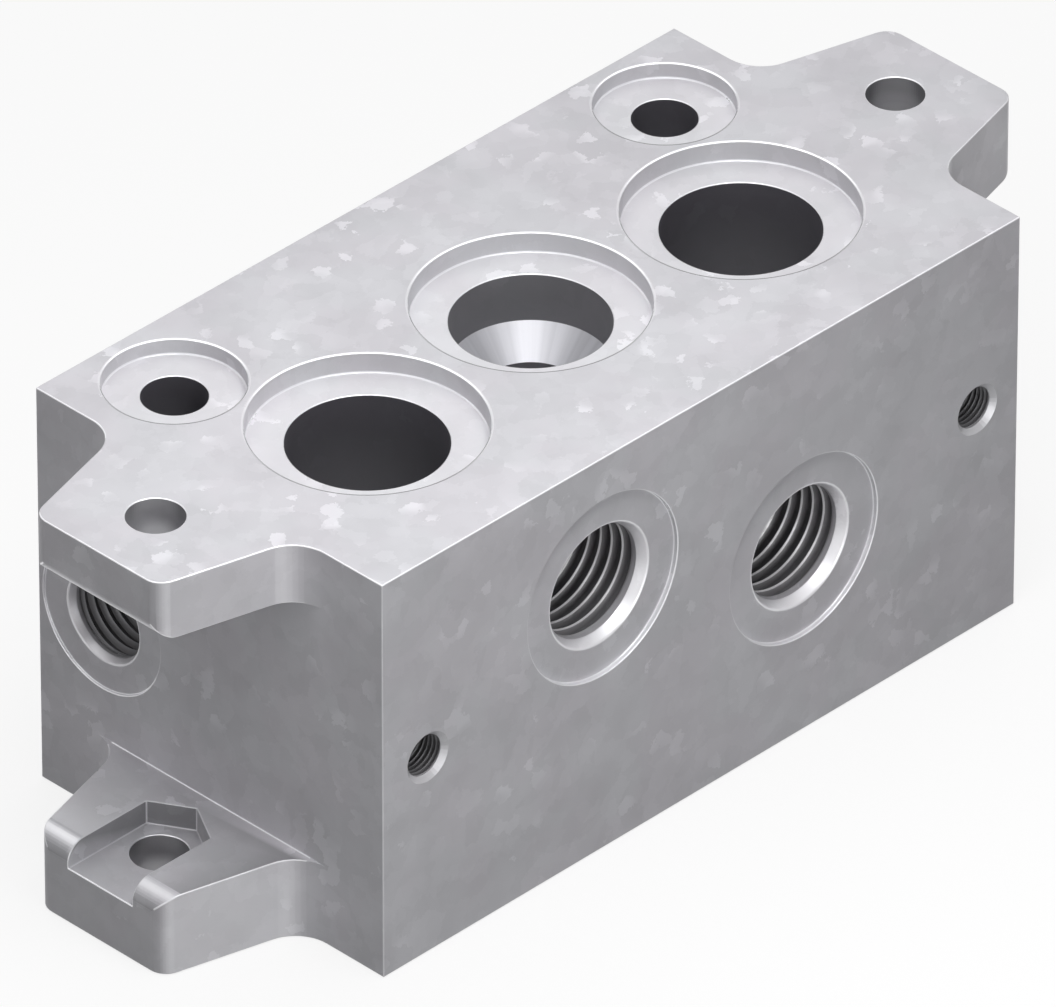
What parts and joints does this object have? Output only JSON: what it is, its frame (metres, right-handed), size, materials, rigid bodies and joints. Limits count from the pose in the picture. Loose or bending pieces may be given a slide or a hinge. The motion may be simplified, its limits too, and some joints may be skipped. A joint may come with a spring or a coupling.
{
  "type": "manifold plate",
  "caption": "Cast and machined aluminium manifold plate for a directional valve, with sealed through channels, threaded ports and clamping lugs.",
  "frame": {"origin": "middle of the plain underside", "axes": "+X along the plate, -Y out of the face with the two outlet ports, +Y out of the valve face, +Z out of the face with the seal counterbores"},
  "size_m": [0.11, 0.044, 0.043],
  "materials": {
    "cast_aluminium": "fine blasted casting with machined faces, satin"
  },
  "bodies": {
    "root": {"manifold_block": "cast_aluminium"}
  },
  "joints": []
}
